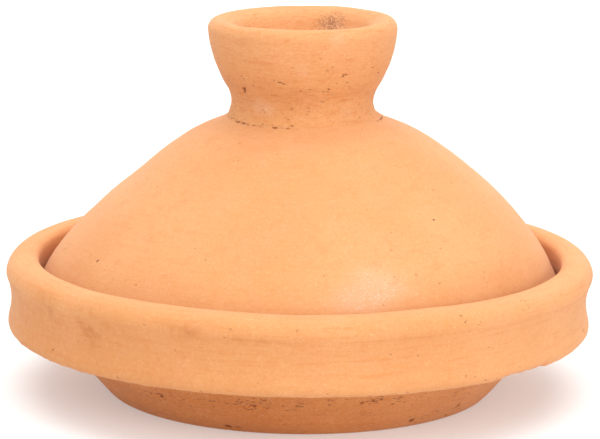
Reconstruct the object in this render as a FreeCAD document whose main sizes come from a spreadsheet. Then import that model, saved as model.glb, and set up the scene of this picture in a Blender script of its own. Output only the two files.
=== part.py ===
"""An unglazed clay tagine: a shallow round dish and a domed lid with a hollow knob.

Each of the two halves is put together from two clay members, as a potter puts them together.
The dish is a bowl with a thick band luted round its rim. The lid is a dome with a cup-shaped
knob luted to its crown. The lid stands loose on the ledge at the top of the bowl, inside the band.

Every member is a body of revolution about Z. Z = 0 is the flat underside of the foot.
All sizes are in millimetres.
"""

import FreeCAD
import Part
import Sketcher

import math
import os

from FreeCAD import Vector

# Each driving dimension: its name, its value and what it is.
# A *_radius is measured from the axis, and a *_height from the underside of the foot.
SIZES = [
    # bowl
    ("foot_radius", 90.5, "flat underside of the foot, before its edge is rounded"),
    ("foot_round", 2.5, "rounding of the foot's edge"),
    ("floor_height", 11.0, "top of the floor at the middle"),
    ("floor_edge_radius", 68.0, "where the floor turns up into the wall"),
    ("floor_edge_height", 12.5, "top of the floor there"),
    ("seat_inner_radius", 111.0, "inner edge of the ledge that carries the lid"),
    ("seat_height", 50.0, "ledge that carries the lid"),
    ("seat_round", 3.0, "rounding of the ledge's inner edge"),
    ("bore_radius", 125.5, "outside of the bowl's rim, and inside of the band"),
    ("joint_height", 39.0, "where the sloping flank meets the upright rim"),
    # band
    ("band_foot_height", 29.2, "underside of the band"),
    ("lip_inner_radius", 124.4, "inner edge of the lip"),
    ("lip_inner_height", 61.0, "inner edge of the lip"),
    ("crest_inner_radius", 127.3, "inner end of the lip's flat crest"),
    ("crest_inner_height", 65.0, "inner end of the lip's flat crest"),
    ("crest_outer_radius", 134.4, "outer end of the lip's flat crest"),
    ("crest_outer_height", 64.7, "outer end of the lip's flat crest"),
    ("rim_radius", 139.8, "widest place of the whole pot, on the lip"),
    ("rim_height", 58.4, "widest place of the whole pot, on the lip"),
    ("hollow_top_radius", 139.5, "top of the shallow hollow round the band"),
    ("hollow_top_height", 56.0, "top of the shallow hollow round the band"),
    ("hollow_base_radius", 138.4, "base of the shallow hollow round the band"),
    ("hollow_base_height", 36.7, "base of the shallow hollow round the band"),
    ("belly_radius", 138.7, "swelling below the hollow"),
    ("belly_height", 33.9, "swelling below the hollow"),
    ("hem_radius", 135.6, "where the band's lower edge turns under"),
    ("hem_height", 29.4, "where the band's lower edge turns under"),
    # dome
    ("crown_height", 135.2, "top of the dome, which is the floor of the knob's cup"),
    ("seam_radius", 40.3, "outer edge of the knob's foot on the dome"),
    ("seam_height", 128.6, "outer edge of the knob's foot on the dome"),
    ("shoulder_radius", 59.7, "outside of the shoulder"),
    ("shoulder_height", 119.2, "outside of the shoulder"),
    ("flank_radius", 88.2, "outside of the flank"),
    ("flank_height", 97.0, "outside of the flank"),
    ("skirt_radius", 109.6, "outside of the skirt"),
    ("skirt_height", 74.5, "outside of the skirt"),
    ("hem_top_radius", 121.6, "outside, just above the lid's foot"),
    ("hem_top_height", 55.6, "outside, just above the lid's foot"),
    ("lid_foot_radius", 123.0, "outside of the lid's foot"),
    ("lid_foot_inner_radius", 112.5, "inside of the lid's foot"),
    ("lid_foot_round", 1.8, "rounding of the lid's foot"),
    ("vault_height", 126.5, "inside of the dome at the middle"),
    ("vault_crown_radius", 40.0, "inside, below the seam"),
    ("vault_crown_height", 120.8, "inside, below the seam"),
    ("vault_shoulder_radius", 56.1, "inside of the shoulder"),
    ("vault_shoulder_height", 112.5, "inside of the shoulder"),
    ("vault_flank_radius", 82.8, "inside of the flank"),
    ("vault_flank_height", 91.1, "inside of the flank"),
    ("vault_skirt_radius", 103.4, "inside of the skirt"),
    ("vault_skirt_height", 69.4, "inside of the skirt"),
    # knob
    ("knob_foot_round", 9.7, "hollow of the knob's foot, where it spreads on to the dome"),
    ("neck_radius", 33.4, "narrowest place of the knob"),
    ("neck_height", 138.3, "narrowest place of the knob"),
    ("neck_top_radius", 35.5, "where the neck starts to swell into the cup"),
    ("neck_top_height", 145.0, "where the neck starts to swell into the cup"),
    ("cup_radius", 44.5, "widest place of the knob"),
    ("cup_height", 172.4, "widest place of the knob"),
    ("cup_crest_outer_radius", 38.6, "where the cup's crest starts to slope inwards"),
    ("cup_crest_outer_height", 177.3, "where the cup's crest starts to slope inwards"),
    ("cup_crest_inner_radius", 34.0, "inner end of the crest's slope"),
    ("cup_crest_inner_height", 175.4, "inner end of the crest's slope"),
    ("cup_lip_radius", 30.6, "inner edge of the cup's lip"),
    ("cup_lip_height", 172.0, "inner edge of the cup's lip"),
    ("cup_floor_radius", 21.5, "inside of the cup at its floor"),
]

SHEET = "Sizes"
AXIS = "axis"  # stands for radius 0
GROUND = "ground"  # stands for height 0
ORIGIN_POINT, START, END, CENTRE = 1, 1, 2, 3  # Sketcher's numbers for the points of a curve
H_AXIS, V_AXIS = -1, -2  # Sketcher's numbers for its own axes
EDGE_SEARCH = 0.01  # how near an edge has to be to the place that is looked up
NODES = ("dish_bowl", "dish_rim_band", "lid_dome", "lid_knob")


def make_sheet(doc):
    """The spreadsheet of driving dimensions."""
    sheet = doc.addObject("Spreadsheet::Sheet", SHEET)
    for row, (name, value, meaning) in enumerate(SIZES, start=1):
        sheet.set(f"A{row}", name)
        sheet.set(f"B{row}", str(value))
        sheet.set(f"C{row}", meaning)
        sheet.setAlias(f"B{row}", name)
    doc.recompute()
    return sheet


class Outline:
    """A sketch in the XZ plane, drawn as paths of lines and arcs between points named in the sheet."""

    def __init__(self, body, sheet):
        self.sheet = sheet
        self.sketch = body.newObject("Sketcher::SketchObject", f"{body.Name}_outline")
        plane = next(o for o in body.Origin.OriginFeatures if o.Role == "XZ_Plane")
        self.sketch.AttachmentSupport = [(plane, "")]
        self.sketch.MapMode = "FlatFace"

    def value(self, name):
        return 0.0 if name in (AXIS, GROUND) else self.sheet.get(name)

    def spot(self, radius, height):
        return Vector(self.value(radius), self.value(height), 0)

    def rule(self, *terms):
        return self.sketch.addConstraint(Sketcher.Constraint(*terms))

    def bound_rule(self, kind, *terms, to):
        """A dimension whose value follows a cell of the sheet."""
        number = self.rule(kind, *terms, self.value(to))
        self.sketch.setExpression(f"Constraints[{number}]", f"{SHEET}.{to}")

    def pin_radius(self, end, radius):
        if radius == AXIS:
            self.rule("PointOnObject", *end, V_AXIS)
        else:
            self.bound_rule("DistanceX", H_AXIS, ORIGIN_POINT, *end, to=radius)

    def pin_height(self, end, height):
        if height == GROUND:
            self.rule("PointOnObject", *end, H_AXIS)
        else:
            self.bound_rule("DistanceY", H_AXIS, ORIGIN_POINT, *end, to=height)

    def add_line(self, a, b):
        geometry = self.sketch.addGeometry(Part.LineSegment(a, b), False)
        return (geometry, START), (geometry, END)

    def add_arc(self, a, b, centre, leftward):
        """An arc from a to b. Sketcher's arcs run anticlockwise, so a rightward one is stored reversed."""
        first, second = (a, b) if leftward else (b, a)
        angles = [math.atan2(p.y - centre.y, p.x - centre.x) for p in (first, second)]
        if angles[1] < angles[0]:
            angles[1] += 2 * math.pi
        circle = Part.Circle(centre, Vector(0, 0, 1), (a - centre).Length)
        geometry = self.sketch.addGeometry(Part.ArcOfCircle(circle, *angles), False)
        ends = (geometry, START), (geometry, END)
        return ends if leftward else ends[::-1]

    def join(self, end_a, end_b):
        """A straight line between two ends that are there already."""
        a, b = (self.sketch.getPoint(*end) for end in (end_a, end_b))
        start, end = self.add_line(a, b)
        self.rule("Coincident", *end_a, *start)
        self.rule("Coincident", *end, *end_b)


class Path:
    """A run of lines and arcs through an outline, drawn from its first point onwards."""

    def __init__(self, outline, radius, height, joins=None):
        """Starts at a named point, which is the end `joins` of another path if that is given."""
        self.outline = outline
        self.start_names = (radius, height)
        self.joins = joins
        self.here = outline.spot(radius, height)
        self.heading = None
        self.first = None
        self.last = None

    def _advance(self, start, end, there, heading):
        if self.first is None:
            self._hold_first(start)
        self.last, self.here, self.heading = end, there, heading

    def _hold_first(self, start):
        self.first = start
        if self.joins:
            self.outline.rule("Coincident", *self.joins, *start)
        else:
            self.outline.pin_radius(start, self.start_names[0])
            self.outline.pin_height(start, self.start_names[1])

    def _pin(self, radius, height):
        self.outline.pin_radius(self.last, radius)
        self.outline.pin_height(self.last, height)

    def line(self, radius, height):
        there = self.outline.spot(radius, height)
        before = self.last
        start, end = self.outline.add_line(self.here, there)
        self._advance(start, end, there, (there - self.here).normalize())
        if before:
            self.outline.rule("Coincident", *before, *start)
        self._pin(radius, height)
        return self

    def crown(self, radius, height):
        """An arc that starts level on the axis, so its centre is on the axis too."""
        self.heading = Vector(1, 0, 0)
        start, _ = self._tangent_arc(self.outline.spot(radius, height))
        self.outline.rule("PointOnObject", start[0], CENTRE, V_AXIS)
        self._pin(radius, height)
        return self

    def flow(self, radius, height):
        """An arc that carries on smoothly from the piece before it."""
        before = self.last
        start, _ = self._tangent_arc(self.outline.spot(radius, height))
        self.outline.rule("Tangent", *before, *start)
        self._pin(radius, height)
        return self

    def flow_to_radius(self, radius, rough_height):
        """As flow, but only the radius of its end is given: a later rule settles the height."""
        before = self.last
        there = Vector(self.outline.value(radius), rough_height, 0)
        start, _ = self._tangent_arc(there)
        self.outline.rule("Tangent", *before, *start)
        self.outline.pin_radius(self.last, radius)
        return self

    def _tangent_arc(self, there):
        """Draws the arc that leaves here along the heading and ends there."""
        step = there - self.here
        left = Vector(-self.heading.y, self.heading.x, 0)
        reach = step.dot(step) / (2 * left.dot(step))
        return self._arc_about(self.here + left * reach, there, leftward=reach > 0)

    def _arc_about(self, centre, there, leftward):
        start, end = self.outline.add_arc(self.here, there, centre, leftward)
        spoke = (there - centre).normalize()
        turn = 1 if leftward else -1
        self._advance(start, end, there, Vector(-spoke.y * turn, spoke.x * turn, 0))
        return start, end

    def bend(self, radius, height, size):
        """A rightward arc of a given size."""
        there = self.outline.spot(radius, height)
        chord = there - self.here
        right = Vector(chord.y, -chord.x, 0).normalize()
        rise = math.sqrt(self.outline.value(size) ** 2 - (chord.Length / 2) ** 2)
        middle = (self.here + there) * 0.5
        start, _ = self._arc_about(middle + right * rise, there, leftward=False)
        self._pin(radius, height)
        self.outline.bound_rule("Radius", start[0], to=size)
        return self


def revolve(doc, body, outline):
    """Turns the outline a full turn about Z."""
    doc.recompute()
    turned = body.newObject("PartDesign::Revolution", f"{body.Name}_turned")
    turned.Profile = outline.sketch
    turned.ReferenceAxis = (outline.sketch, ["V_Axis"])
    turned.Angle = 360
    doc.recompute()
    return turned


def round_edge(doc, body, base, radius, height, size):
    """Rounds the circular edge of that radius and height. The names are cells of the sheet."""
    sheet = doc.getObject(SHEET)
    r = sheet.get(radius)
    z = 0.0 if height == GROUND else sheet.get(height)
    names = [
        f"Edge{number}"
        for number, edge in enumerate(base.Shape.Edges, start=1)
        if not edge.Degenerated
        and isinstance(edge.Curve, Part.Circle)
        and abs(edge.Curve.Radius - r) < EDGE_SEARCH
        and abs(edge.Curve.Center.z - z) < EDGE_SEARCH
    ]
    rounding = body.newObject("PartDesign::Fillet", f"{body.Name}_{radius}_round")
    rounding.Base = (base, names)
    rounding.setExpression("Radius", f"{SHEET}.{size}")
    doc.recompute()
    return rounding


def new_body(doc, name):
    body = doc.addObject("PartDesign::Body", name)
    body.Label = name
    return body


def make_dish_bowl(doc, sheet):
    """The bowl: a flat foot, a sloping flank and a thick rim whose top is the lid's ledge."""
    body = new_body(doc, "dish_bowl")
    outline = Outline(body, sheet)
    wall = Path(outline, AXIS, "floor_height")
    wall.crown("floor_edge_radius", "floor_edge_height")
    wall.flow("seat_inner_radius", "seat_height")
    wall.line("bore_radius", "seat_height")
    wall.line("bore_radius", "joint_height")
    wall.line("foot_radius", GROUND)
    wall.line(AXIS, GROUND)
    outline.join(wall.last, wall.first)
    bowl = revolve(doc, body, outline)
    bowl = round_edge(doc, body, bowl, "foot_radius", GROUND, "foot_round")
    round_edge(doc, body, bowl, "seat_inner_radius", "seat_height", "seat_round")
    return body


def make_dish_rim_band(doc, sheet):
    """The band luted round the bowl: a rounded lip, a shallow hollow and a lower edge that overhangs."""
    body = new_body(doc, "dish_rim_band")
    outline = Outline(body, sheet)
    face = Path(outline, "bore_radius", "seat_height")
    face.line("lip_inner_radius", "lip_inner_height")
    face.flow("crest_inner_radius", "crest_inner_height")
    face.flow("crest_outer_radius", "crest_outer_height")
    face.flow("rim_radius", "rim_height")
    face.flow("hollow_top_radius", "hollow_top_height")
    face.flow("hollow_base_radius", "hollow_base_height")
    face.flow("belly_radius", "belly_height")
    face.flow("hem_radius", "hem_height")
    # The underside ends on the bowl's flank, which runs from the foot's edge to the joint.
    sketch = outline.sketch
    foot = outline.spot("foot_radius", GROUND)
    joint = outline.spot("bore_radius", "joint_height")
    low = sheet.get("band_foot_height")
    meeting = foot + (joint - foot) * (low / joint.y)
    inner = Path(outline, "bore_radius", "seat_height", joins=face.first)
    inner.line("bore_radius", "joint_height")
    flank_top, flank_foot = outline.add_line(joint, meeting)
    outline.rule("Coincident", *inner.last, *flank_top)
    outline.pin_height(flank_foot, "band_foot_height")
    guide = sketch.addGeometry(Part.LineSegment(joint, foot), True)
    outline.rule("Coincident", *inner.last, guide, START)
    outline.pin_radius((guide, END), "foot_radius")
    outline.pin_height((guide, END), GROUND)
    outline.rule("PointOnObject", *flank_foot, guide)
    outline.join(face.last, flank_foot)
    revolve(doc, body, outline)
    return body


def make_lid_dome(doc, sheet):
    """The lid's dome, with a closed crown and a flat foot that stands on the bowl's ledge."""
    body = new_body(doc, "lid_dome")
    outline = Outline(body, sheet)
    outside = Path(outline, AXIS, "crown_height")
    outside.crown("seam_radius", "seam_height")
    outside.flow("shoulder_radius", "shoulder_height")
    outside.flow("flank_radius", "flank_height")
    outside.flow("skirt_radius", "skirt_height")
    outside.flow("hem_top_radius", "hem_top_height")
    outside.flow("lid_foot_radius", "seat_height")
    inside = Path(outline, AXIS, "vault_height")
    inside.crown("vault_crown_radius", "vault_crown_height")
    inside.flow("vault_shoulder_radius", "vault_shoulder_height")
    inside.flow("vault_flank_radius", "vault_flank_height")
    inside.flow("vault_skirt_radius", "vault_skirt_height")
    inside.flow("lid_foot_inner_radius", "seat_height")
    outline.join(outside.last, inside.last)
    outline.join(inside.first, outside.first)
    dome = revolve(doc, body, outline)
    for radius in ("lid_foot_radius", "lid_foot_inner_radius"):
        dome = round_edge(doc, body, dome, radius, "seat_height", "lid_foot_round")
    return body


def make_lid_knob(doc, sheet):
    """The hollow knob: a spreading foot, a neck and a thick-lipped cup whose floor is the dome's crown."""
    body = new_body(doc, "lid_knob")
    outline = Outline(body, sheet)
    crown = outline.spot(AXIS, "crown_height")
    seam = outline.spot("seam_radius", "seam_height")
    drop = crown.y - seam.y
    ball = (seam.x**2 + drop**2) / (2 * drop)
    centre = crown - Vector(0, ball, 0)
    floor_radius = sheet.get("cup_floor_radius")
    floor_height = centre.y + math.sqrt(ball**2 - floor_radius**2)
    wall = Path(outline, "seam_radius", "seam_height")
    wall.bend("neck_radius", "neck_height", "knob_foot_round")
    wall.flow("neck_top_radius", "neck_top_height")
    wall.flow("cup_radius", "cup_height")
    wall.flow("cup_crest_outer_radius", "cup_crest_outer_height")
    wall.flow("cup_crest_inner_radius", "cup_crest_inner_height")
    wall.flow("cup_lip_radius", "cup_lip_height")
    wall.flow_to_radius("cup_floor_radius", floor_height)
    # The foot follows the dome's crown, which is an arc through the crown's top and the seam.
    floor = Vector(floor_radius, floor_height, 0)
    start, end = outline.add_arc(floor, seam, centre, leftward=False)
    outline.rule("Coincident", *wall.last, *start)
    outline.rule("Coincident", *end, *wall.first)
    outline.rule("PointOnObject", start[0], CENTRE, V_AXIS)
    top = outline.sketch.addGeometry(Part.Point(crown), True)
    outline.rule("PointOnObject", top, START, V_AXIS)
    outline.pin_height((top, START), "crown_height")
    outline.rule("PointOnObject", top, START, start[0])
    revolve(doc, body, outline)
    return body


def check(doc, bodies):
    """Stops if any object failed, a sketch isn't fully held, or a body isn't one valid solid."""
    for thing in doc.Objects:
        if "Invalid" in thing.State or "Error" in thing.State:
            raise RuntimeError(f"{thing.Name} failed: {thing.State}")
        if thing.TypeId == "Sketcher::SketchObject" and thing.solve() != 0:
            raise RuntimeError(f"{thing.Name} can't be solved")
    for body in bodies:
        shape = body.Shape
        if shape.isNull() or not shape.isValid() or len(shape.Solids) != 1:
            raise RuntimeError(f"{body.Label} isn't one valid solid")


def main():
    doc = FreeCAD.newDocument("tagine")
    sheet = make_sheet(doc)
    bodies = [
        make_dish_bowl(doc, sheet),
        make_dish_rim_band(doc, sheet),
        make_lid_dome(doc, sheet),
        make_lid_knob(doc, sheet),
    ]
    doc.recompute()
    check(doc, bodies)
    os.makedirs("parts", exist_ok=True)
    for body, node in zip(bodies, NODES):
        body.Shape.exportStep(f"parts/{node}.step")
        print(node, "volume", round(body.Shape.Volume / 1000, 1), "cm3")


main()
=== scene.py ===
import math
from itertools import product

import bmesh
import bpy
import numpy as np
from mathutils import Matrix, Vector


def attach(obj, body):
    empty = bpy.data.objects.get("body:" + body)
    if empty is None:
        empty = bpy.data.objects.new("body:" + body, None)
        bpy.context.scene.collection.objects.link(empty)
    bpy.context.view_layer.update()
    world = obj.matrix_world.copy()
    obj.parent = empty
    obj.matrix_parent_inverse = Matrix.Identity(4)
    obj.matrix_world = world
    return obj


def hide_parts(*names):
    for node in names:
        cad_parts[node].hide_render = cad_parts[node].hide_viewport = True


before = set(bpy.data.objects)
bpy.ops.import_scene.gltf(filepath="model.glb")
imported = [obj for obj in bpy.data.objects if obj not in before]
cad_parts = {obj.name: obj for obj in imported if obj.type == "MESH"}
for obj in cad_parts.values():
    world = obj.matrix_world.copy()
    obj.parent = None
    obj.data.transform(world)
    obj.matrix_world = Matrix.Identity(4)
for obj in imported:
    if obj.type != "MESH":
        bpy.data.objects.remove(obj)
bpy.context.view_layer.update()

# An unglazed clay tagine, dressed over its CAD frame.
#
# Each of the four clay members is turned again as a finer mesh, from the outline of its own CAD
# node, with the marks of hand work: a slight wobble, throwing lines, pits, chips and a torn seam.
# Lengths are in metres, heights are above the underside of the foot, and angles are in degrees
# round the Z axis: 0 is the front (-Y) and positive is towards +X.

MM = 0.001
SEED = 11
SAME_PLACE = 1e-6  # points of a CAD mesh nearer than this are one point
EVEN_STEP = 0.25 * MM  # spacing at which an outline is smoothed before it is thinned out
OUTLINE_SOFTNESS = 0.5 * MM  # how far that smoothing reaches
CORNER = math.radians(26)  # a sharper turn than this in a CAD outline is a real corner
NOISE_VALUES = 8192  # a power of two
NOISE_PRIMES = (73856093, 19349663, 83492791)  # one for each axis


# ---------------------------------------------------------------- noise

def noise(points, size, seed):
    """Smooth noise from -1 to 1 at each row of points, with bumps about `size` apart."""
    table = np.random.default_rng(SEED + seed).uniform(-1, 1, NOISE_VALUES)
    scaled = points / size
    cell = np.floor(scaled).astype(np.int64)
    t = scaled - cell
    t = t * t * (3 - 2 * t)
    total = np.zeros(len(points))
    for corner in product((0, 1), repeat=points.shape[1]):
        key = np.zeros(len(points), np.int64)
        weight = np.ones(len(points))
        for axis, step in enumerate(corner):
            key ^= (cell[:, axis] + step) * NOISE_PRIMES[axis]
            weight *= t[:, axis] if step else 1 - t[:, axis]
        total += weight * table[key & (NOISE_VALUES - 1)]
    return total


def rough(points, size, seed, octaves=3):
    """Several sizes of noise added up, each half the size and half the height of the last."""
    return sum(noise(points, size / 2**i, seed + 31 * i) / 2**i for i in range(octaves))


def ramp(low, high, x):
    """0 at low and 1 at high, with a smooth rise between."""
    t = np.clip((x - low) / (high - low), 0, 1)
    return t * t * (3 - 2 * t)


# ---------------------------------------------------------------- outlines

def section(node):
    """The outline of a CAD node in the half plane y = 0, x > 0, as rows of (radius, height).

    It runs from axis to axis, or once round a ring. The second result is True for a ring."""
    bm = bmesh.new()
    bm.from_mesh(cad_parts[node].data)
    bmesh.ops.remove_doubles(bm, verts=bm.verts, dist=SAME_PLACE)
    everything = bm.verts[:] + bm.edges[:] + bm.faces[:]
    cut = bmesh.ops.bisect_plane(
        bm, geom=everything, dist=SAME_PLACE, plane_co=(0, 0, 0), plane_no=(0, 1, 0)
    )["geom_cut"]
    edges = [
        g for g in cut if isinstance(g, bmesh.types.BMEdge) and all(v.co.x > -SAME_PLACE for v in g.verts)
    ]
    beside = {}
    for edge in edges:
        a, b = edge.verts
        beside.setdefault(a, []).append(b)
        beside.setdefault(b, []).append(a)
    ends = [v for v, others in beside.items() if len(others) == 1]
    ring = not ends
    here = min(ends or beside, key=lambda v: v.co.z)
    before, path = None, []
    while here is not None and (not path or here is not path[0]):
        path.append(here)
        onward = [v for v in beside[here] if v is not before]
        before, here = here, (onward[0] if onward else None)
    points = np.array([(v.co.x, v.co.z) for v in path])
    bm.free()
    return points, ring


def rounded(points, ring):
    """The outline as close, even points. Shallow turns become curves, and corners get a small rounding."""
    if ring:
        points = np.vstack([points, points[:1]])
    chord = np.diff(points, axis=0)
    length = np.hypot(*chord.T)
    chord, length = chord[length > SAME_PLACE], length[length > SAME_PLACE]
    points = np.vstack([points[:1], points[:1] + np.cumsum(chord, axis=0)])
    along = chord / length[:, None]
    before = np.roll(along, 1, axis=0)
    gap = np.roll(length, 1)
    knot = (along * gap[:, None] + before * length[:, None]) / (length + gap)[:, None]
    corner = np.arccos(np.clip((along * before).sum(1), -1, 1)) > CORNER
    if not ring:
        corner[0] = True
    leave = np.where(corner[:, None], along, knot)
    arrive = np.where(np.roll(corner, -1)[:, None], along, np.roll(knot, -1, axis=0))
    # Each chord becomes a cubic curve that leaves and arrives in those directions.
    curves = []
    for i in range(len(along)):
        t = np.linspace(0, 1, max(2, int(length[i] / EVEN_STEP)), endpoint=False)[:, None]
        curves.append(
            points[i] * (2 * t**3 - 3 * t**2 + 1)
            + points[i + 1] * (3 * t**2 - 2 * t**3)
            + leave[i] * length[i] * (t**3 - 2 * t**2 + t)
            + arrive[i] * length[i] * (t**3 - t**2)
        )
    fine = np.vstack(curves + ([] if ring else [points[-1:]]))
    reach = int(3 * OUTLINE_SOFTNESS / EVEN_STEP)
    weights = np.exp(-0.5 * (np.arange(-reach, reach + 1) * EVEN_STEP / OUTLINE_SOFTNESS) ** 2)
    weights /= weights.sum()
    if ring:
        padded = np.vstack([fine[-reach:], fine, fine[:reach]])
    else:
        mirrored = fine * (-1, 1)
        padded = np.vstack([mirrored[reach:0:-1], fine, mirrored[-2 : -reach - 2 : -1]])
    return np.column_stack([np.convolve(padded[:, k], weights, "valid") for k in (0, 1)])


def thinned(fine, ring, spacing):
    """Picks points from a close outline, as far apart as spacing(radius, height) says."""
    step = np.hypot(*np.diff(fine, axis=0).T)
    wanted = np.array([spacing(r, z) for r, z in fine[:-1]])
    count = np.concatenate([[0], np.cumsum(step / wanted)])
    total = int(round(count[-1]))
    places = np.linspace(0, count[-1], total + 1)
    if ring:
        places = places[:-1]
    return np.column_stack([np.interp(places, count, fine[:, k]) for k in (0, 1)])


# ---------------------------------------------------------------- turned clay

class Turned:
    """A body of revolution in clay, as one long row of points: an outline's worth for each turn.

    spacing(radius, height) says how far apart the outline's points are. push moves points along
    their normals, shift moves them any way, and masks hold the shares of each finish that their
    material reads. build makes the mesh."""

    def __init__(self, node, turns, spacing):
        self.node = node
        self.turns = turns
        points, self.ring = section(node)
        outline = thinned(rounded(points, self.ring), self.ring, spacing)
        outline[:, 0] = np.maximum(outline[:, 0], 0)
        if not self.ring:
            outline[[0, -1], 0] = 0
        ahead = np.roll(outline, -1, axis=0) - np.roll(outline, 1, axis=0)
        if not self.ring:
            # The outline meets the axis level.
            ahead[0], ahead[-1] = (1, 0), (-1, 0)
            if outline[1, 0] < outline[0, 0]:
                ahead[0], ahead[-1] = (-1, 0), (1, 0)
        normal = np.column_stack([ahead[:, 1], -ahead[:, 0]])
        normal /= np.hypot(*normal.T)[:, None]
        if self._area(outline) < 0:
            normal = -normal
        self.rows = len(outline)
        angle = np.linspace(0, 2 * math.pi, turns, endpoint=False)
        self.angle = np.repeat(angle, self.rows)
        self.r = np.tile(outline[:, 0], turns)
        self.z = np.tile(outline[:, 1], turns)
        self.nr = np.tile(normal[:, 0], turns)
        self.nz = np.tile(normal[:, 1], turns)
        along = np.concatenate([[0], np.cumsum(np.hypot(*np.diff(outline, axis=0).T))])
        self.s = np.tile(along, turns)
        self.turning = np.column_stack([np.sin(self.angle), -np.cos(self.angle)])
        self.push = np.zeros(len(self.r))
        self.shift = np.zeros((len(self.r), 3))
        self.masks = {layer: np.zeros(len(self.r)) for layer in LAYERS}

    @staticmethod
    def _area(outline):
        """Positive if the outline runs anticlockwise, with the clay on its left."""
        r, z = outline.T
        return 0.5 * np.sum(r * np.roll(z, -1) - np.roll(r, -1) * z)

    @property
    def points(self):
        """Where each point is before it is pushed."""
        return np.column_stack([self.turning * self.r[:, None], self.z])

    @property
    def degrees(self):
        """Angle from the front, from -180 to 180."""
        return (np.degrees(self.angle) + 180) % 360 - 180

    def beside(self, angle):
        """Degrees from an angle to each point, from -180 to 180."""
        return (self.degrees - angle + 180) % 360 - 180

    def facing_out(self):
        """1 on the outside, and 0 on the inside."""
        return ramp(-0.15, 0.15, self.nr)

    def lumps(self, size, height, seed):
        """Hand-made unevenness, slower round the pot than up it."""
        return height * rough(self.points * (1, 1, 1.4), size, seed, octaves=2)

    def lines(self, pitch, height, seed):
        """Throwing lines: ridges that run right round, and change slowly on the way."""
        place = np.column_stack([self.turning * 3.0, self.s / pitch])
        return height * noise(place, 1.0, seed)

    def spot(self, angle, height, size, inside=False):
        """1 in the middle of a round spot on the surface, and 0 from `size` away."""
        a = math.radians(angle)
        side = self.nr < 0 if inside else self.nr > -0.3
        level = self.z[: self.rows]
        row = np.argmin(np.where(side[: self.rows], np.abs(level - height), np.inf))
        middle = np.array([math.sin(a) * self.r[row], -math.cos(a) * self.r[row], level[row]])
        distance = np.linalg.norm(self.points - middle, axis=1)
        return 1 - ramp(0, size, distance)

    def patch(self, angle, height, wide, tall):
        """A soft oval patch, 1 in its middle. `wide` is in degrees."""
        beside = self.beside(angle) / wide
        level = (self.z - height) / tall
        return np.exp(-(beside**2) - level**2)

    def dent(self, angle, height, size, depth):
        """Pushes in a round dent, with all but the angle in millimetres. It returns the dent's spot."""
        spot = self.spot(angle, height * MM, size * MM)
        self.push -= depth * MM * spot
        return spot

    def build(self, name, body, material):
        """Makes the mesh as a piece that rides on a body and stands for the CAD node."""
        r = self.r + self.push * self.nr
        z = self.z + self.push * self.nz
        co = np.column_stack([self.turning * r[:, None], z])
        co += self.shift
        turns, rows = self.turns, self.rows
        index = np.arange(turns * rows).reshape(turns, rows)
        around = np.roll(index, -1, axis=0)
        if self.ring:
            up, up_around = np.roll(index, -1, axis=1), np.roll(around, -1, axis=1)
            quads = np.stack([index, around, up_around, up], -1).reshape(-1, 4)
            faces = [tuple(q) for q in quads.tolist()]
        else:
            quads = np.stack([index[:, 1:-2], around[:, 1:-2], around[:, 2:-1], index[:, 2:-1]], -1)
            faces = [tuple(q) for q in quads.reshape(-1, 4).tolist()]
            faces += [(index[0, 0], around[i, 1], index[i, 1]) for i in range(turns)]
            faces += [(index[0, -1], index[i, -2], around[i, -2]) for i in range(turns)]
            # The faces share one point at each end, on the axis. The other turns' end points go.
            co[index[:, 0]] = co[index[:, 0]].mean(0)
            co[index[:, -1]] = co[index[:, -1]].mean(0)
        mesh = bpy.data.meshes.new(name)
        mesh.from_pydata(co.tolist(), [], [tuple(int(i) for i in f) for f in faces])
        for mask, values in self.masks.items():
            layer = mesh.attributes.new(mask, "FLOAT", "POINT")
            layer.data.foreach_set("value", np.clip(values, 0, 1).astype(np.float32))
        bm = bmesh.new()
        bm.from_mesh(mesh)
        bmesh.ops.delete(bm, geom=[v for v in bm.verts if not v.link_faces], context="VERTS")
        bmesh.ops.recalc_face_normals(bm, faces=bm.faces)
        bm.to_mesh(mesh)
        bm.free()
        mesh.shade_smooth()
        mesh.materials.append(material)
        piece = link(name, mesh)
        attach(piece, body)
        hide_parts(self.node)


# ---------------------------------------------------------------- clay materials

LINES_PER_METRE = 110.0  # how fast the fine throwing lines in a material follow each other
CLAY_DARK = (0.25, 0.058, 0.013, 1)
PALE_SAND = (0.78, 0.52, 0.32, 1)
# Each clay's light, middle and deep colour.
LID_CLAY = ((0.665, 0.312, 0.127, 1), (0.640, 0.283, 0.108, 1), (0.600, 0.226, 0.074, 1))
RIM_AND_KNOB_CLAY = ((0.660, 0.304, 0.118, 1), (0.635, 0.277, 0.099, 1), (0.600, 0.223, 0.069, 1))
# The bowl's clay is darker and redder than the rest, in part as painted shade for its underside under the
# band.
BOWL_CLAY_WITH_SHADE = ((0.625, 0.238, 0.064, 1), (0.575, 0.193, 0.045, 1), (0.48, 0.128, 0.024, 1))


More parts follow.
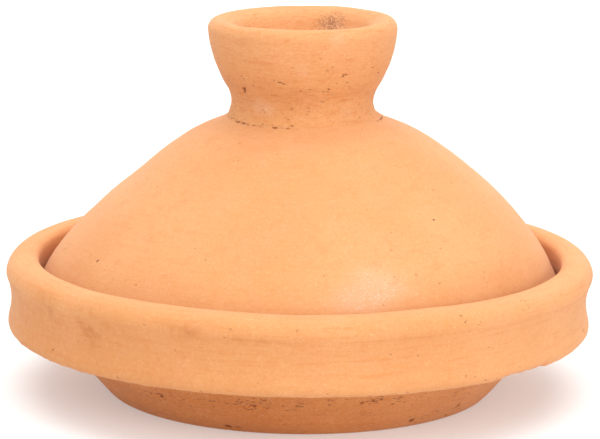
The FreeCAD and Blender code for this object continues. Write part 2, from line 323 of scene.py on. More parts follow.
class Nodes:
    """Adds shader nodes to a material and links them as it goes."""

    def __init__(self, name):
        self.material = bpy.data.materials.new(name)
        self.material.use_nodes = True
        self.tree = self.material.node_tree
        self.tree.nodes.clear()
        self.output = self.tree.nodes.new("ShaderNodeOutputMaterial")

    def add(self, kind, inputs=(), **settings):
        node = self.tree.nodes.new(kind)
        for key, value in settings.items():
            setattr(node, key, value)
        for key, value in dict(inputs).items():
            if isinstance(value, bpy.types.NodeSocket):
                self.tree.links.new(value, node.inputs[key])
            else:
                node.inputs[key].default_value = value
        return node

    def math(self, operation, a, b=0.0):
        """Maths on numbers. SQRT has no use for b."""
        return self.add("ShaderNodeMath", {0: a, 1: b}, operation=operation).outputs[0]

    def span(self, value, low, high, to_low=0.0, to_high=1.0):
        """Maps low..high on to to_low..to_high, smoothly and without leaving it."""
        node = self.add(
            "ShaderNodeMapRange",
            {0: value, 1: low, 2: high, 3: to_low, 4: to_high},
            interpolation_type="SMOOTHSTEP",
        )
        return node.outputs[0]

    def mix(self, share, a, b):
        """Colour b over colour a, by a share."""
        node = self.add("ShaderNodeMix", {0: share, 6: a, 7: b}, data_type="RGBA", clamp_factor=True)
        return node.outputs[2]

    def mask(self, name):
        """One of the mesh's own masks."""
        return self.add("ShaderNodeAttribute", attribute_name=name).outputs["Fac"]

    def vector(self, operation, a, b):
        """Vector maths. b is a vector, or the scale for SCALE."""
        inputs = {0: a, 3: b} if operation == "SCALE" else {0: a, 1: b}
        return self.add("ShaderNodeVectorMath", inputs, operation=operation).outputs[0]

    def cells(self, vector, scale):
        """Scattered cells: the distance from each one's middle, and a random colour's channels."""
        node = self.add("ShaderNodeTexVoronoi", {"Vector": vector, "Scale": scale}, feature="F1")
        pick = self.add("ShaderNodeSeparateColor", {0: node.outputs["Color"]}).outputs
        return node.outputs["Distance"], pick

    def grain(self, vector, scale, detail=3.0, roughness=0.6, **more):
        """Noise round 0.5. With W it has a fourth axis."""
        node = self.add(
            "ShaderNodeTexNoise",
            {"Vector": vector, "Scale": scale, "Detail": detail, "Roughness": roughness, **more},
            noise_dimensions="4D" if "W" in more else "3D",
        )
        return node.outputs["Fac"]


def clay(name, tones, line_strength, grit_strength, pit_share):
    """Unglazed terracotta. tones are its light, middle and deep colour."""
    light, mid, deep = tones
    n = Nodes(name)
    pink = (light[0] * 1.02, light[1] * 0.97, light[2] * 1.16, 1)
    place = n.add("ShaderNodeTexCoord").outputs["Object"]
    x, y, z = n.add("ShaderNodeSeparateXYZ", {0: place}).outputs
    radius = n.math("SQRT", n.math("ADD", n.math("MULTIPLY", x, x), n.math("MULTIPLY", y, y)))
    safe = n.math("MAXIMUM", radius, 0.002)
    # On a turned surface these coordinates change fast across the throwing lines and slowly along them.
    up = n.math("MULTIPLY", z, LINES_PER_METRE)
    turned = n.add(
        "ShaderNodeCombineXYZ", {0: n.math("DIVIDE", x, safe), 1: n.math("DIVIDE", y, safe), 2: up}
    ).outputs[0]
    across = n.math("MULTIPLY", radius, LINES_PER_METRE)

    clouds = n.grain(place, 24.0, detail=4.0, roughness=0.55)
    blush = n.grain(place, 70.0)
    mottle = n.grain(place, 190.0)
    lines = n.grain(turned, 5.0, roughness=0.7, W=across)
    sand = n.grain(place, 900.0, detail=2.5, roughness=0.7)
    dust = n.grain(place, 330.0, roughness=0.65)

    color = n.mix(n.span(clouds, 0.32, 0.68), mid, light)
    color = n.mix(n.span(blush, 0.46, 0.72, 0.0, 0.30), color, pink)
    color = n.mix(n.span(mottle, 0.50, 0.70, 0.0, 0.30), color, deep)
    color = n.mix(n.span(lines, 0.50, 0.72, 0.0, 0.34 * line_strength), color, deep)
    color = n.mix(n.span(sand, 0.52, 0.70, 0.0, 0.30 * grit_strength), color, deep)
    color = n.mix(n.span(sand, 0.48, 0.30, 0.0, 0.20 * grit_strength), color, PALE_SAND)

    # Pits where grit has torn out, and dark grains of iron-rich sand, which gather where it is gritty.
    stir = n.add("ShaderNodeTexNoise", {"Vector": place, "Scale": 500.0}).outputs["Color"]
    stirred = n.vector("ADD", place, n.vector("SCALE", stir, 0.0016))
    distance, pick = n.cells(stirred, 150.0)
    pit_size = n.span(pick[0], 1.0 - pit_share, 1.0, 0.0, 0.22)
    pit = n.math(
        "MULTIPLY",
        n.span(n.math("SUBTRACT", distance, pit_size), 0.05, -0.05),
        n.math("GREATER_THAN", pit_size, 0.001),
    )
    distance, pick = n.cells(n.vector("MULTIPLY", stirred, (1.0, 1.0, 2.2)), 430.0)
    gritty = n.mask("gritty")
    chosen = n.math("GREATER_THAN", n.math("ADD", pick[1], n.math("MULTIPLY", gritty, 0.55)), 0.985)
    reach = n.span(gritty, 0.0, 0.6, 0.34, 0.50)
    speck = n.math("MULTIPLY", n.span(distance, reach, 0.14), chosen)
    color = n.mix(n.math("MULTIPLY", pit, 0.75), color, CLAY_DARK)
    color = n.mix(n.math("MULTIPLY", speck, n.span(gritty, 0.0, 0.4, 0.21, 0.85)), color, CLAY_DARK)

    # The surface's own relief, in metres.
    height = n.math("MULTIPLY", n.math("SUBTRACT", lines, 0.5), 0.15 * MM * line_strength)
    height = n.math("SUBTRACT", height, n.math("MULTIPLY", speck, 0.3 * MM))
    for relief, depth in ((sand, 0.12 * MM), (dust, 0.16 * MM)):
        bumps = n.math("MULTIPLY", n.math("SUBTRACT", relief, 0.5), depth * grit_strength)
        height = n.math("ADD", height, bumps)
    height = n.math("SUBTRACT", height, n.math("MULTIPLY", pit, 0.7 * MM))
    roughness = n.span(dust, 0.3, 0.7, 0.82, 0.96)

    for finish in FINISHES.values():
        color, height = finish(n, color, height, sand, dust)

    bump = n.add("ShaderNodeBump", {"Strength": 1.0, "Distance": 1.0, "Height": height})
    shader = n.add(
        "ShaderNodeBsdfPrincipled",
        {
            "Base Color": color,
            "Roughness": roughness,
            "Normal": bump.outputs[0],
            "Specular IOR Level": 0.28,
            "Sheen Weight": 0.12,
            "Sheen Roughness": 0.45,
            "Sheen Tint": (1.0, 0.82, 0.72, 1),
        },
    )
    n.tree.links.new(shader.outputs[0], n.output.inputs["Surface"])
    return n.material


def smear_and_shade(n, color, height, sand, dust):
    """Browner clay: handled or overfired in places, and painted shade on the sides and low parts that get
    less light.
    """
    share = n.math("MULTIPLY", n.mask("smear_and_shade"), n.span(dust, 0.25, 0.65, 0.45, 1.0))
    return n.mix(n.math("MULTIPLY", share, 0.7), color, (0.46, 0.155, 0.045, 1)), height


def painted_light(n, color, height, sand, dust):
    """Painted light: paler, pinker clay on tops and sides that face the light, and at grazing edges."""
    share = n.math("MULTIPLY", n.mask("painted_light"), n.span(dust, 0.2, 0.7, 0.5, 1.0))
    return n.mix(n.math("MULTIPLY", share, 0.6), color, (0.70, 0.36, 0.19, 1)), height


def salt(n, color, height, sand, dust):
    """White salts that have come out of the clay as small specks in a pale haze."""
    mask = n.mask("salt")
    fine = n.grain(n.add("ShaderNodeTexCoord").outputs["Object"], 1500.0, detail=1.5, roughness=0.7)
    specks = n.math("MULTIPLY", mask, n.span(fine, 0.55, 0.70))
    color = n.mix(n.math("MULTIPLY", mask, 0.38), color, (0.70, 0.41, 0.27, 1))
    return n.mix(n.math("MULTIPLY", specks, 0.48), color, (0.78, 0.64, 0.56, 1)), height


def torn(n, color, height, sand, dust):
    """Dark torn clay, broken up by the grit: the seam under the knob, pits, scratches and chips."""
    share = n.math("MULTIPLY", n.mask("torn"), n.span(dust, 0.38, 0.55))
    share = n.span(share, 0.22, 0.5)
    color = n.mix(n.math("MULTIPLY", share, 0.72), color, CLAY_DARK)
    return color, n.math("SUBTRACT", height, n.math("MULTIPLY", share, 0.5 * MM))


def crust(n, color, height, sand, dust):
    """A rough, dark-grained patch."""
    share = n.math("MULTIPLY", n.mask("crust"), n.span(sand, 0.48, 0.58))
    color = n.mix(n.math("MULTIPLY", share, 0.7), color, (0.28, 0.12, 0.06, 1))
    return color, n.math("SUBTRACT", height, n.math("MULTIPLY", share, 0.4 * MM))


# The finishes that masks bring in, one over the other. "gritty" only gathers the dark grains.
FINISHES = {"smear_and_shade": smear_and_shade, "painted_light": painted_light, "salt": salt, "torn": torn, "crust": crust}
LAYERS = (*FINISHES, "gritty")


# ---------------------------------------------------------------- marks
#
# Angles and widths round the pot are in degrees, and everything else is in millimetres.

# (angle, height, size, depth)
BOWL_PITS = (
    (-41.4, 16.4, 2.4, 0.5), (-39.5, 17.2, 2.0, 0.5), (-36.7, 15.9, 3.6, 1.1), (-34.9, 16.3, 2.2, 0.7),
    (-21.3, 16.4, 2.4, 0.4), (-14.7, 17.1, 3.0, 0.6), (-13.2, 16.6, 2.0, 0.5), (-11.0, 16.5, 3.0, 0.8),
    (-9.4, 16.9, 2.2, 0.6), (-7.7, 17.4, 2.2, 0.6), (-7.1, 20.5, 2.6, 0.7), (-2.4, 16.5, 2.0, 0.4),
    (1.0, 19.0, 2.2, 0.4), (7.1, 19.9, 2.4, 0.5), (15.5, 18.8, 2.6, 0.9), (18.1, 19.5, 2.6, 1.0),
    (20.1, 20.1, 2.0, 0.9), (23.9, 18.8, 2.4, 0.7), (42.9, 16.9, 2.6, 0.8), (45.5, 17.6, 2.2, 0.7),
    (33.4, 3.8, 3.0, 1.5), (39.0, 5.0, 2.2, 0.5), (41.5, 5.8, 2.2, 0.4), (50.0, 6.4, 2.6, 0.9),
)
# (angle, size, depth)
FOOT_CHIPS = (
    (-20.0, 3.2, 1.6), (-17.0, 2.8, 1.5), (48.0, 2.5, 0.8), (97.0, 3.5, 1.4), (215.0, 4.0, 1.6),
)
# (angle, height, half its width)
BOWL_STREAKS = (
    (-26, 17.6, 9), (-12, 16.6, 7), (3, 17.0, 6), (39, 5.2, 5), (118, 18, 10), (200, 17, 9), (262, 19, 8),
)
# (angle, height, size, depth)
BAND_PITS = (
    (-53.5, 36.0, 1.9, 0.9), (-40.7, 49.9, 1.7, 0.6), (31.5, 60.7, 1.8, 0.6), (30.7, 61.9, 1.6, 0.5),
    (33.2, 60.0, 1.5, 0.4), (47.9, 60.9, 1.8, 0.6), (-46.0, 44.0, 1.5, 0.3), (58.0, 57.0, 1.5, 0.3),
    (75.0, 36.0, 1.9, 0.7), (112.0, 50.0, 1.8, 0.6), (151.0, 39.0, 2.0, 0.8), (187.0, 59.0, 1.8, 0.6),
    (233.0, 44.0, 1.8, 0.6), (266.0, 37.0, 2.0, 0.8), (290.0, 60.0, 1.7, 0.5),
)
HEM_DENTS = ((54.5, 31.0, 3.2, 0.7), (140.0, 30.0, 4.0, 1.2), (251.0, 30.0, 3.6, 1.0))
# (first angle, last angle) of the worn stretches of the band's lower edge
WORN_HEM = ((40.0, 55.0), (196.0, 214.0))
# (angle, height, half its width, half its height, share)
BAND_SMEARS = (
    (-55, 55, 3.0, 7, 0.55), (-43, 53, 3.2, 8, 0.75), (-37, 55, 3.5, 4, 0.35), (-22, 57, 4.0, 3.5, 0.75),
    (-8, 56, 7.0, 2.5, 0.3), (24, 57, 5.0, 2.5, 0.25), (80, 55, 4.0, 6, 0.5), (125, 54, 5.0, 7, 0.55),
    (170, 56, 6.0, 4, 0.5), (214, 54, 4.0, 7, 0.6), (262, 55, 5.0, 6, 0.5),
)
# (angle, height, size, depth)
DOME_PITS = (
    (-57.9, 72.6, 1.4, 0.4), (-48.6, 78.7, 1.3, 0.3), (-24.8, 69.7, 1.5, 0.4), (5.2, 77.3, 1.4, 0.3),
    (-30.0, 66.0, 1.3, 0.3), (40.0, 96.0, 1.4, 0.3), (103.0, 82.0, 1.8, 0.6), (151.0, 101.0, 1.7, 0.5),
    (197.0, 71.0, 1.8, 0.7), (243.0, 92.0, 1.6, 0.5), (281.0, 68.0, 1.8, 0.6),
)
# (angle, height, half its width, half its height, share)
DOME_SALT = (
    (14.0, 68.5, 5.5, 5.0, 0.95), (17.5, 74.0, 6.0, 6.0, 0.55), (11.0, 67.0, 5.0, 4.0, 0.45),
    (20.0, 71.0, 7.0, 5.0, 0.35), (14.5, 78.0, 4.0, 3.0, 0.35), (138.0, 90.0, 8.0, 6.0, 0.5),
    (228.0, 70.0, 7.0, 5.0, 0.6),
)
# (angle, height, size, depth)
KNOB_PITS = (
    (-46.8, 147.1, 1.4, 0.8), (-47.9, 145.9, 1.2, 0.7), (-45.6, 148.4, 1.2, 0.5), (30.1, 155.8, 1.2, 0.6),
    (28.3, 156.0, 1.0, 0.5), (3.2, 156.8, 1.0, 0.4), (-28.0, 158.0, 1.0, 0.4), (37.1, 135.6, 1.0, 0.4),
    (22.4, 135.0, 1.0, 0.3), (52.0, 157.0, 1.1, 0.4), (61.0, 155.0, 1.2, 0.5), (18.0, 150.0, 1.0, 0.3),
    (110.0, 150.0, 1.5, 0.6), (165.0, 158.0, 1.4, 0.6), (222.0, 147.0, 1.5, 0.7),
)
# (first angle, height there, width, how far it drops)
KNOB_SCRATCHES = (
    (-24, 154.6, 12, 3.2), (-20, 153.2, 9, 1.4), (4, 154.6, 9, 1.6), (-9, 148.0, 12, 0.6),
    (34, 153.0, 2, 5.0), (150, 155.0, 12, 2.0),
)
# (angle, height, size, share)
KNOB_SALT = (
    (-36, 139.4, 6.5, 0.6), (-27, 139.0, 5, 0.5), (38, 136, 6, 0.3), (0, 159, 6, 0.35),
)


# ---------------------------------------------------------------- the members

def slump(clay_body):
    """Leans the lid's clay sideways, most of all half way up the dome."""
    heights = [0.050, 0.060, 0.070, 0.085, 0.098, 0.112, 0.127, 0.134, 0.180]
    along_x = [0, 0.0002, 0.0012, 0.0025, 0.0031, 0.0029, 0.0024, 0.0005, 0.0003]
    along_y = [0, 0, 0.0002, 0, -0.0004, -0.0007, -0.0005, -0.0003, -0.0003]
    clay_body.shift[:, 0] += np.interp(clay_body.z, heights, along_x)
    clay_body.shift[:, 1] += np.interp(clay_body.z, heights, along_y)


def make_bowl():
    def spacing(r, z):
        if z < 0.5 * MM and r < 86 * MM:  # underside
            return 4.0 * MM
        if z < 13.5 * MM and r < 70 * MM:  # floor
            return 3.0 * MM
        if r > 124.5 * MM and z > 36 * MM:  # joint with the band
            return 2.5 * MM
        if 13 * MM < z < 49 * MM and r < 124.5 * MM and r < 84.5 * MM + 0.9 * z:  # inner wall
            return 1.7 * MM
        return 0.9 * MM

    bowl = Turned("dish_bowl", turns=576, spacing=spacing)
    place = bowl.points
    flank = bowl.facing_out() * ramp(36 * MM, 31 * MM, bowl.z)
    # The ledge, the joint and the ground under the foot stay where the CAD has them.
    joint = ramp(123.5 * MM, 124.5 * MM, bowl.r) * ramp(34 * MM, 38 * MM, bowl.z)
    free = (1 - ramp(45 * MM, 48 * MM, bowl.z)) * (1 - joint) * ramp(0.2 * MM, 3.0 * MM, bowl.z)
    lumps = bowl.lumps(size=30 * MM, height=0.18 * MM, seed=1)
    bowl.push += free * (lumps + bowl.lines(pitch=3.2 * MM, height=0.07 * MM, seed=2))

    blotches = noise(np.column_stack([bowl.turning * 6, bowl.z / (7 * MM)]), 1.0, 7)
    dark = flank * ramp(-0.3, 0.7, blotches)
    # Painted shade: browner on the left and near the ground, where less light reaches. Painted light:
    # paler on the right.
    left = 0.15 + 0.85 * ramp(30, -40, bowl.degrees) * ramp(175, 120, np.abs(bowl.degrees))
    low = ramp(9 * MM, 0.5 * MM, bowl.z)
    bowl.masks["smear_and_shade"] = flank * (left * (0.40 + 0.35 * dark) + (0.42 + 0.48 * left) * low)
    bowl.masks["painted_light"] = 0.28 * flank * ramp(5, 45, bowl.degrees) * ramp(170, 110, bowl.degrees)

    pits = list(BOWL_PITS)
    random = np.random.default_rng(SEED + 3)
    for middle in np.arange(60, 318, 4.3):  # round the back, every few degrees
        angle, height = middle + random.uniform(-2, 2), random.uniform(14, 23)
        size, depth = random.uniform(1.8, 3.2), random.uniform(0.3, 1.0)
        pits.append((angle, height, size, depth))
    crumbly = 0.8 + 0.4 * noise(place, 1.5 * MM, 5)
    for angle, height, size, depth in pits:
        spot = bowl.spot(angle, height * MM, 0.75 * size * MM)
        bowl.push -= depth * MM * spot * crumbly
        bowl.masks["torn"] += 1.2 * spot * ramp(0.6, 1.1, depth)
        bowl.masks["gritty"] += 0.9 * bowl.spot(angle, height * MM, 2.2 * size * MM)

    # Streaks where grit was dragged round the flank.
    streak = np.zeros(len(bowl.r))
    for angle, height, width in BOWL_STREAKS:
        beside = np.abs(bowl.beside(angle)) / width
        level = np.abs(bowl.z - (height + 0.5 * noise(bowl.turning * 30, 1.0, 9)) * MM)
        streak = np.maximum(streak, (1 - ramp(0.5, 1.0, beside)) * (1 - ramp(0.3 * MM, 1.1 * MM, level)))
    streak *= flank * ramp(-0.3, 0.3, noise(place, 3 * MM, 12))
    bowl.masks["torn"] += 0.35 * streak
    bowl.push -= 0.25 * MM * streak
    clusters = noise(np.column_stack([bowl.turning * 14, bowl.z / (4 * MM)]), 1.0, 10)
    coarse = ramp(-0.4, 0.6, clusters) * ramp(8 * MM, 14 * MM, bowl.z)
    bowl.masks["gritty"] += 0.9 * streak + flank * (0.06 + 0.22 * coarse)

    for angle, size, depth in FOOT_CHIPS:
        bowl.masks["torn"] += 0.7 * bowl.dent(angle, 1.6, size, depth)
    material = clay("bowl_terracotta", BOWL_CLAY_WITH_SHADE,
                    line_strength=1.6, grit_strength=1.3, pit_share=0.01)
    bowl.build("bowl", body="dish", material=material)


def make_band():
    def spacing(r, z):
        if r < 126.2 * MM and z < 51 * MM:  # joint with the bowl
            return 2.6 * MM
        if z < 29.5 * MM and r < 134 * MM:  # underside
            return 1.8 * MM
        return 0.85 * MM

    band = Turned("dish_rim_band", turns=704, spacing=spacing)
    place = band.points
    outside = band.facing_out()
    # The joint with the bowl stays where the CAD has it.
    free = ramp(125.0 * MM, 126.2 * MM, band.r) + ramp(51 * MM, 54 * MM, band.z)
    free = np.clip(free, 0, 1) * ramp(118 * MM, 124 * MM, band.r)
    lumps = band.lumps(size=28 * MM, height=0.22 * MM, seed=21)
    band.push += free * (lumps + band.lines(pitch=2.6 * MM, height=0.06 * MM, seed=22))
    # The band isn't quite round: it is drawn in a little at the sides and the back.
    angles = [-180, -120, -90, -40, 0, 40, 90, 125, 180]
    drawn_in = np.interp(band.degrees, angles, [-0.4, -0.4, -0.3, 0.0, 0.0, -0.2, -0.7, -0.9, -0.4]) * MM
    band.shift[:, :2] += band.turning * (drawn_in * free)[:, None]
    band.shift[:, :2] += band.turning * (0.4 * MM * free * ramp(36 * MM, 31 * MM, band.z))[:, None]
    band.shift[:, 0] += 0.4 * MM * free * ramp(45 * MM, 62 * MM, band.z)
    # The lip is wavy.
    wave = noise(band.turning * 2.2, 1.0, 23)
    band.shift[:, 2] += free * 0.4 * MM * wave * ramp(45 * MM, 60 * MM, band.z)
    # The lower edge is ragged where the band's clay was trimmed, and worn away in places. Each worn
    # stretch ends in a small step.
    hem = ramp(33 * MM, 29.5 * MM, band.z) * ramp(128 * MM, 134 * MM, band.r)
    rags = rough(np.column_stack([band.turning * 0.14, band.z]), 3.5 * MM, 24, octaves=2)
    band.push += hem * 0.22 * MM * rags
    edge = ramp(34 * MM, 30 * MM, band.z) * ramp(130 * MM, 136 * MM, band.r)
    for start, end in WORN_HEM:
        t = ((band.degrees - start) % 360) / (end - start)
        band.shift[:, 2] += 1.0 * MM * ramp(0.0, 0.35, t) * ramp(1.04, 0.98, t) * edge

    pitted = np.zeros(len(band.r))
    for angle, height, size, depth in BAND_PITS:
        band.dent(angle, height, size, depth)
        band.masks["torn"] += 0.9 * ramp(0.55, 0.8, depth) * band.spot(angle, height * MM, 0.7 * size * MM)
        pitted = np.maximum(pitted, band.spot(angle, height * MM, 1.5 * size * MM))
    for dent in HEM_DENTS:
        band.dent(*dent)
    # Browner smears where the band was smoothed by hand under the lip.
    blotchy = 0.25 + ramp(-0.5, 0.5, rough(place, 5 * MM, 27))
    outermost = ramp(136.5 * MM, 137.2 * MM, band.r)
    for angle, height, wide, tall, share in BAND_SMEARS:
        patch = band.patch(angle, height * MM, wide, tall * MM)
        band.masks["smear_and_shade"] += 1.1 * share * patch * outermost * blotchy
    # Painted shade: browner low on the band's left, the side that gets less light.
    left = ramp(40, -70, band.degrees) * ramp(175, 120, np.abs(band.degrees))
    band.masks["smear_and_shade"] += 0.40 * left * ramp(58 * MM, 50 * MM, band.z) * outside
    # Painted light: paler on the lip's top and on the band's right, which face the light.
    band.masks["painted_light"] = ramp(61 * MM, 64.5 * MM, band.z) * 0.2
    band.masks["painted_light"] += 0.18 * ramp(8, 35, band.degrees) * ramp(150, 110, band.degrees) * outside
    # A line dragged under the lip, which comes and goes.
    line = 55.3 * MM + 0.5 * MM * noise(band.turning * 5, 1.0, 28)
    near = 1 - ramp(0.2 * MM, 1.0 * MM, np.abs(band.z - line))
    dragged = near * outside * ramp(-0.25, 0.35, noise(band.turning * 7, 1.0, 29))
    dragged *= 1 - 0.5 * ramp(25, 40, band.degrees) * ramp(110, 90, band.degrees)
    band.push -= 0.12 * MM * dragged
    band.masks["smear_and_shade"] += 0.45 * dragged
    band.masks["gritty"] = 0.8 * pitted + 0.10 * dragged + 0.22 * ramp(34 * MM, 30 * MM, band.z) * outside
    material = clay("rim_terracotta", RIM_AND_KNOB_CLAY,
                    line_strength=1.8, grit_strength=0.9, pit_share=0.012)
    band.build("rim_band", body="dish", material=material)


def luting_cracks(clay_body):
    """How badly the seam under the knob is torn at each point: worst at the front left."""
    torn_share = np.interp(
        clay_body.degrees,
        [-180, -150, -120, -100, -74, -68, -12, -4, 8, 60, 68, 88, 96, 140, 180],
        [0.35, 0.8, 0.8, 0.3, 0.6, 1.0, 1.0, 0.55, 0.25, 0.2, 0.8, 0.8, 0.3, 0.6, 0.35],
    )
    breaks = noise(clay_body.turning * 26, 1.0, 66) + 0.5 * noise(clay_body.turning * 75, 1.0, 70)
    return torn_share * (0.62 + 0.38 * ramp(-0.5, 0.2, breaks))


def make_dome():
    def is_outer(r, z):
        """Whether a point of the outline is above a curve that runs inside the dome's wall."""
        return z > 43.5 * MM + 86.5 * MM * (1 - (r / (126.5 * MM)) ** 2.6)

    def spacing(r, z):
        if r < 24 * MM and z > 130 * MM:  # floor of the knob's cup
            return 1.4 * MM
        if 33 * MM < r < 44 * MM and z > 124 * MM:  # seam
            return 0.5 * MM
        if is_outer(r, z) and r > 36 * MM:
            return 1.05 * MM
        return 3.2 * MM

    dome = Turned("lid_dome", turns=448, spacing=spacing)
    outside = ramp(-0.05, 0.25, dome.nz + 0.6 * dome.nr)
    crown = ramp(122 * MM, 124 * MM, dome.z)
    under_knob = ramp(41.5 * MM, 38.5 * MM, dome.r) * ramp(21.5 * MM, 23.5 * MM, dome.r)
    # The lid's foot and the joint with the knob stay where the CAD has them.
    free = outside * ramp(52 * MM, 58 * MM, dome.z) * (1 - under_knob)
    lumps = dome.lumps(size=34 * MM, height=0.28 * MM, seed=41)
    dome.push += free * (lumps + dome.lines(pitch=4.0 * MM, height=0.05 * MM, seed=42))
    # The flank is a little flatter than a smooth curve, most of all on the left.
    flatter = np.exp(-(((dome.z - 103 * MM) / (9 * MM)) ** 2)) * outside
    dome.push -= MM * flatter * (0.52 - 0.32 * dome.turning[:, 0])
    # The clay is drawn up round the knob's foot, as far as the seam, where it is cracked.
    radii = [0.0335, 0.0361, 0.0375, 0.0391, 0.0410, 0.0430]
    drawn_up = np.interp(dome.r, radii, [1.6, 1.4, 0.75, 0.35, 0.12, 0]) * MM
    dome.shift[:, 2] += drawn_up * ramp(30.0 * MM, 33.5 * MM, dome.r) * crown
    near_seam = 1 - ramp(0.2 * MM, 0.6 * MM, np.abs(dome.r - 36.5 * MM))
    cracked = luting_cracks(dome) * near_seam * crown
    dome.shift[:, 2] -= 0.5 * MM * cracked
    dome.masks["torn"] += 0.7 * cracked
    slump(dome)

    for pit in DOME_PITS:
        dome.masks["torn"] += 0.8 * dome.dent(*pit)
    for angle, height, wide, tall, share in DOME_SALT:
        dome.masks["salt"] += share * dome.patch(angle, height * MM, wide, tall * MM) * outside
    # Browner towards the foot of the dome, and in a patch on the right.
    ragged = 1.5 * MM * rough(dome.points, 12 * MM, 44, octaves=2)
    dome.masks["smear_and_shade"] = 0.27 * ramp(67 * MM, 60 * MM, dome.z + ragged) * outside
    dome.masks["smear_and_shade"] += 0.30 * dome.patch(52, 69 * MM, 16, 7 * MM)
    # Painted light: paler, pinker on the left and right sides, where the dome is seen at a grazing angle.
    sides = ramp(50, 90, np.abs(dome.degrees)) * ramp(135, 95, np.abs(dome.degrees))
    dome.masks["painted_light"] = 0.25 * sides * outside
    material = clay("lid_terracotta", LID_CLAY,
                    line_strength=0.8, grit_strength=0.8, pit_share=0.010)
    dome.build("lid_dome_shell", body="lid", material=material)


def make_knob():
    def spacing(r, z):
        if 129 * MM < z < 134 * MM and r > 33.5 * MM:  # seam
            return 0.45 * MM
        return 0.75 * MM if r > 33.5 * MM or z > 134.5 * MM else 1.2 * MM

    knob = Turned("lid_knob", turns=416, spacing=spacing)
    outside = knob.facing_out()
    free = np.clip(ramp(133.5 * MM, 135.5 * MM, knob.z) + 0.5 * outside, 0, 1)
    lumps = knob.lumps(size=18 * MM, height=0.22 * MM, seed=61)
    knob.push += free * (lumps + knob.lines(pitch=2.2 * MM, height=0.06 * MM, seed=62))
    # The lip is tilted and wavy.
    tilt = -0.1 + 0.4 * knob.turning[:, 0] + 0.2 * knob.turning[:, 1]
    wave = 0.2 * noise(knob.turning * 1.6, 1.0, 63)
    knob.shift[:, 2] += ramp(170 * MM, 175.5 * MM, knob.z) * MM * (tilt + wave)
    slump(knob)
    # The torn luting seam, a few millimetres up the knob's foot.
    line = 131.3 * MM + 0.6 * MM * noise(knob.turning * 14, 1.0, 64)
    line += 0.3 * MM * noise(knob.turning * 60, 1.0, 65)
    near = 1 - ramp(0.05 * MM, 0.55 * MM, np.abs(knob.z - line))
    seam = near * luting_cracks(knob) * outside
    knob.push -= 0.55 * MM * seam
    knob.masks["torn"] += 0.95 * seam

    pitted = np.zeros(len(knob.r))
    for angle, height, size, depth in KNOB_PITS:
        knob.masks["torn"] += 1.1 * knob.dent(angle, height, size, depth) * ramp(0.45, 0.75, depth)
        pitted = np.maximum(pitted, knob.spot(angle, height * MM, 1.8 * size * MM))
    # Scratches that slope down to the right.
    waver = 0.2 * MM * noise(knob.turning * 40, 1.0, 67)
    for start, top, width, drop in KNOB_SCRATCHES:
        t = knob.beside(start) / width
        level = np.abs(knob.z - (top - drop * np.clip(t, 0, 1)) * MM + waver)
        ends = ramp(-0.05, 0.05, t) * ramp(1.05, 0.95, t)
        scratch = ends * (1 - ramp(0.15 * MM, 0.6 * MM, level)) * outside
        knob.push -= 0.18 * MM * scratch
        knob.masks["torn"] += 0.28 * scratch
    sandy = 0.13 + 0.13 * rough(knob.points, 9 * MM, 69, octaves=2)
    knob.masks["gritty"] = 0.7 * pitted + outside * ramp(170 * MM, 150 * MM, knob.z) * sandy
    waist = np.exp(-(((knob.z - 144.5 * MM) / (8.5 * MM)) ** 2)) * outside
    banded = rough(np.column_stack([knob.turning * 0.03, knob.z * 4]), 0.011, 68, octaves=2)
    knob.masks["smear_and_shade"] = waist * (0.29 + 0.33 * banded)
    for angle, height, size, share in KNOB_SALT:
        knob.masks["salt"] += share * knob.spot(angle, height * MM, size * MM)
    # Painted light: a pale spot on the front right of the knob's head, and a paler top.
    knob.masks["painted_light"] = 0.7 * knob.spot(21, 173.5 * MM, 7 * MM) + 0.30 * ramp(155 * MM, 168 * MM, knob.z)
    # A salty crust inside the cup, near its lip.
    knob.masks["crust"] = knob.spot(152, 169.0 * MM, 12 * MM, inside=True)
    knob.masks["salt"] += 0.5 * knob.spot(150, 168.5 * MM, 12 * MM, inside=True)
    material = clay("knob_terracotta", RIM_AND_KNOB_CLAY,
                    line_strength=3.0, grit_strength=1.1, pit_share=0.006)
    knob.build("knob", body="lid", material=material)


# ---------------------------------------------------------------- studio

MIDDLE = (0, 0, 0.08)
CAMERA_PLACE = (0, -1.472, 0.3894)
CAMERA_TARGET = (0, 0, 0.0805)
CAMERA_ROLL = math.radians(0.6)
CAMERA_SENSOR = 36  # millimetres
CAMERA_LENS = 189.9  # millimetres


def look_at(thing, target):
    """Turns a lamp or a camera towards a point."""
    thing.rotation_euler = (Vector(target) - thing.location).to_track_quat("-Z", "Y").to_euler()


def link(name, data):
    """Puts a mesh, a lamp or a camera in the scene as an object."""
    thing = bpy.data.objects.new(name, data)
    bpy.context.scene.collection.objects.link(thing)
    return thing


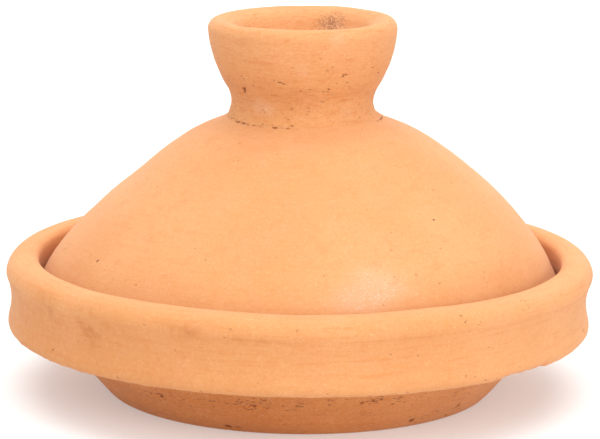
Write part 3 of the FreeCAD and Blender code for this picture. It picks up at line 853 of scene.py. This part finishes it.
def soft_light(name, location, target, size, power):
    data = bpy.data.lights.new(name, "AREA")
    data.shape = "RECTANGLE"
    data.size, data.size_y = size
    data.energy = power
    lamp = link(name, data)
    lamp.location = location
    look_at(lamp, target)


def make_floor():
    n = Nodes("pale_floor")
    place = n.add("ShaderNodeTexCoord").outputs["Object"]
    tone = n.mix(n.grain(place, 3.0), (0.64, 0.64, 0.64, 1), (0.66, 0.66, 0.66, 1))
    # The floor is a lit table, which keeps the shadow on it soft and pale.
    shader = n.add(
        "ShaderNodeBsdfPrincipled",
        {
            "Base Color": tone,
            "Roughness": 0.9,
            "Specular IOR Level": 0.0,
            "Emission Color": (1, 1, 1, 1),
            "Emission Strength": 0.30,
        },
    )
    n.tree.links.new(shader.outputs[0], n.output.inputs["Surface"])
    mesh = bpy.data.meshes.new("floor")
    mesh.from_pydata([(-6, -4, 0), (6, -4, 0), (6, 10, 0), (-6, 10, 0)], [], [(0, 1, 2, 3)])
    mesh.materials.append(n.material)
    floor = link("floor", mesh)


def make_lights():
    world = bpy.data.worlds.new("studio")
    world.use_nodes = True
    sky = world.node_tree.nodes["Background"]
    sky.inputs["Color"].default_value = (1, 1, 1, 1)
    sky.inputs["Strength"].default_value = 0.72
    bpy.context.scene.world = world
    soft_light("key", (1.35, -1.15, 0.45), MIDDLE, (0.9, 0.7), 8)
    soft_light("front", (-0.2, -1.9, 1.2), MIDDLE, (1.6, 1.0), 15)
    soft_light("top", (0.0, 0.0, 1.9), MIDDLE, (2.4, 2.4), 38)
    soft_light("background", (0.0, 2.6, 1.6), (0, 2.2, 0), (3.0, 1.5), 40)


def make_camera():
    data = bpy.data.cameras.new("camera")
    data.sensor_width = CAMERA_SENSOR
    data.lens = CAMERA_LENS
    data.dof.use_dof = False
    camera = link("camera", data)
    camera.location = CAMERA_PLACE
    look_at(camera, CAMERA_TARGET)
    camera.rotation_euler.rotate_axis("Z", CAMERA_ROLL)
    bpy.context.scene.camera = camera


bpy.context.scene.view_settings.view_transform = "Standard"
bpy.context.scene.view_settings.look = "None"
make_camera()
make_floor()
make_lights()
make_bowl()
make_band()
make_dome()
make_knob()
